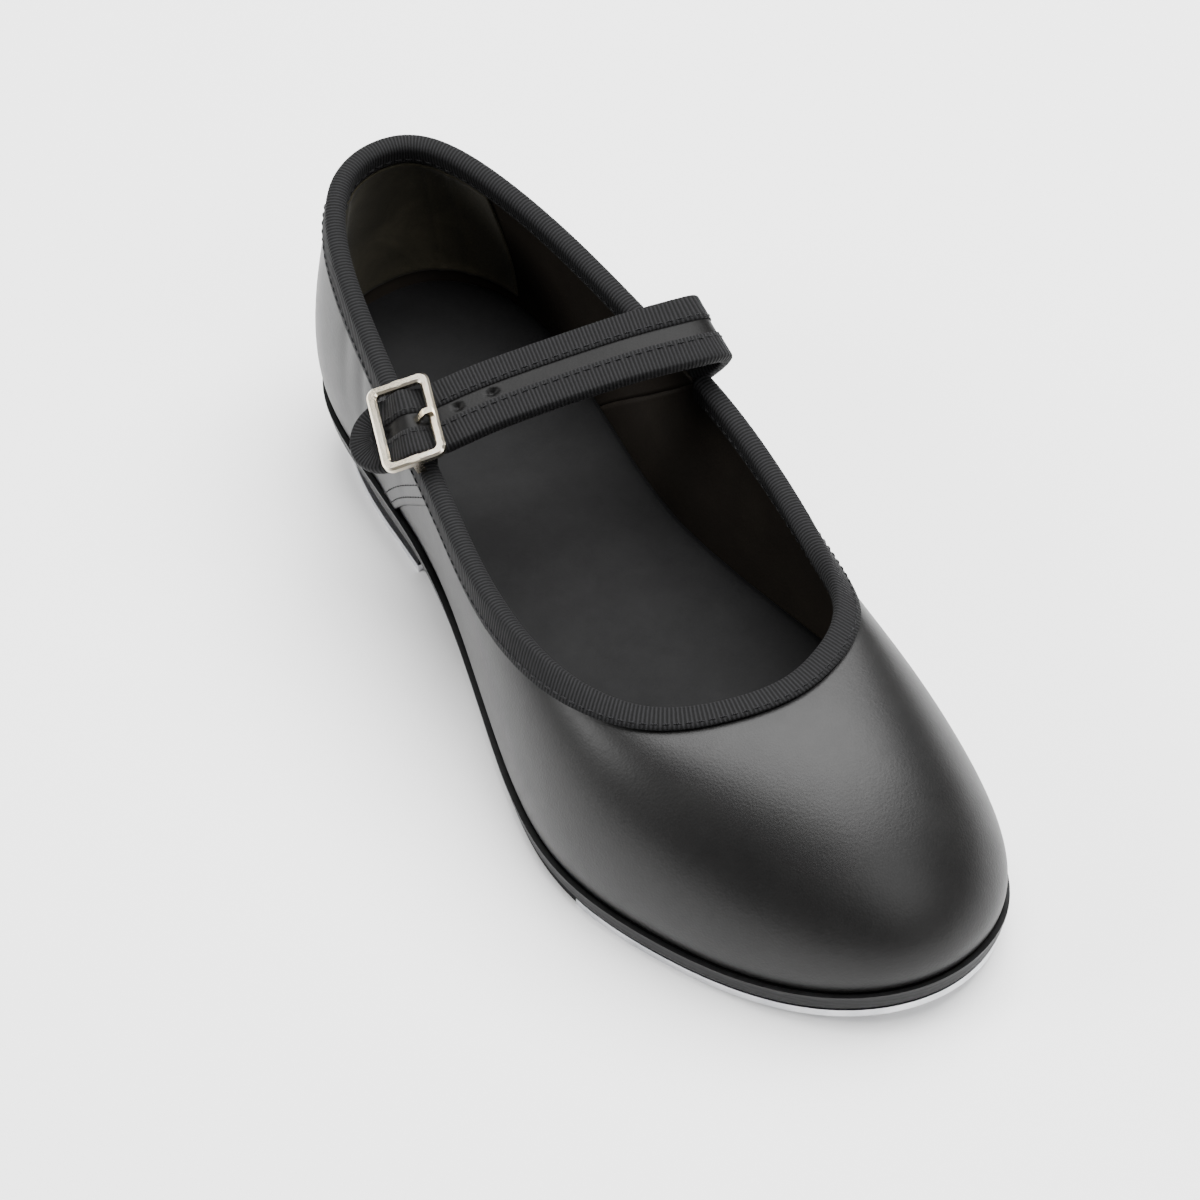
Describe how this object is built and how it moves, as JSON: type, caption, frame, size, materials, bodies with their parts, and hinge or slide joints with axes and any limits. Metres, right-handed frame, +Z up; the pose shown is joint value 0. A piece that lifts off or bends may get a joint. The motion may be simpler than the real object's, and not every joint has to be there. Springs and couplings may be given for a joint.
{
  "type": "tap shoe",
  "caption": "Low-heeled tap shoe with a closed round toe, open instep, buckled strap and metal taps under toe and heel.",
  "frame": {"origin": "centre of the shoe's box in plan, at floor height", "axes": "+Z up, -Y towards the toe, -X towards the outer (buckle) side of the right foot"},
  "size_m": [0.0916, 0.2473, 0.0757],
  "materials": {
    "upper_leather": "satin smooth black leather",
    "lining": "smooth dark brown-black lining",
    "suede": "olive-brown suede grip",
    "ribbon": "black grosgrain ribbon",
    "strap_leather": "satin black leather",
    "elastic": "black woven elastic",
    "buckle_metal": "polished pale gold plate",
    "stiffener": "pressed fibre",
    "insole_board": "fibre board",
    "shank_steel": "tempered steel strip",
    "filler": "cork and felt filler",
    "foam": "soft foam",
    "sock": "matte black sock lining",
    "sole": "black edge-inked leather board",
    "rand": "black moulded rand",
    "rubber": "black rubber",
    "heel": "black lacquered heel",
    "tap_metal": "brushed cast aluminium",
    "screw_steel": "zinc-plated steel"
  },
  "bodies": {
    "root": {"vamp": "upper_leather", "quarter_lateral": "upper_leather", "quarter_medial": "upper_leather", "back_stay": "upper_leather", "heel_counter": "stiffener", "toe_puff": "stiffener", "vamp_lining": "lining", "quarter_lining": "lining", "heel_grip": "suede", "topline_binding": "ribbon", "elastic_tab": "elastic", "shank": "shank_steel", "bottom_filler": "filler", "insole_board": "insole_board", "sock_foam": "foam", "sock_lining": "sock", "outsole": "sole", "rand": "rand", "toe_tap_underlay": "rubber", "toe_tap": "tap_metal", "grip_pad": "rubber", "heel_block": "heel", "heel_top_lift": "rubber", "heel_tap": "tap_metal", "toe_tap_screws": "screw_steel", "heel_tap_screws": "screw_steel", "heel_nails": "screw_steel"},
    "strap": {"strap_outer": "strap_leather", "strap_lining": "lining", "strap_binding": "ribbon"},
    "buckle": {"buckle_frame": "buckle_metal"},
    "prong": {"buckle_prong": "buckle_metal"}
  },
  "joints": [
    {"name": "strap_lift", "type": "hinge", "parent": "root", "child": "strap", "pos_m": [0.03967, 0.03178, 0.05833], "axis": [0.1249, 0.901, 0.4154], "range_deg": [0, 8], "stiffness_Nm_per_rad": 0.5, "deforming": ["elastic_tab"]},
    {"name": "buckle_rock", "type": "hinge", "parent": "strap", "child": "buckle", "pos_m": [-0.02831, 0.04145, 0.05899], "axis": [-0.2814, -0.9201, -0.2725], "range_deg": [-3, 3], "stiffness_Nm_per_rad": 0.02},
    {"name": "prong_pivot", "type": "hinge", "parent": "buckle", "child": "prong", "pos_m": [-0.02831, 0.04145, 0.05899], "axis": [-0.2814, -0.9201, -0.2725], "range_deg": [0, 15], "stiffness_Nm_per_rad": 0.002}
  ]
}
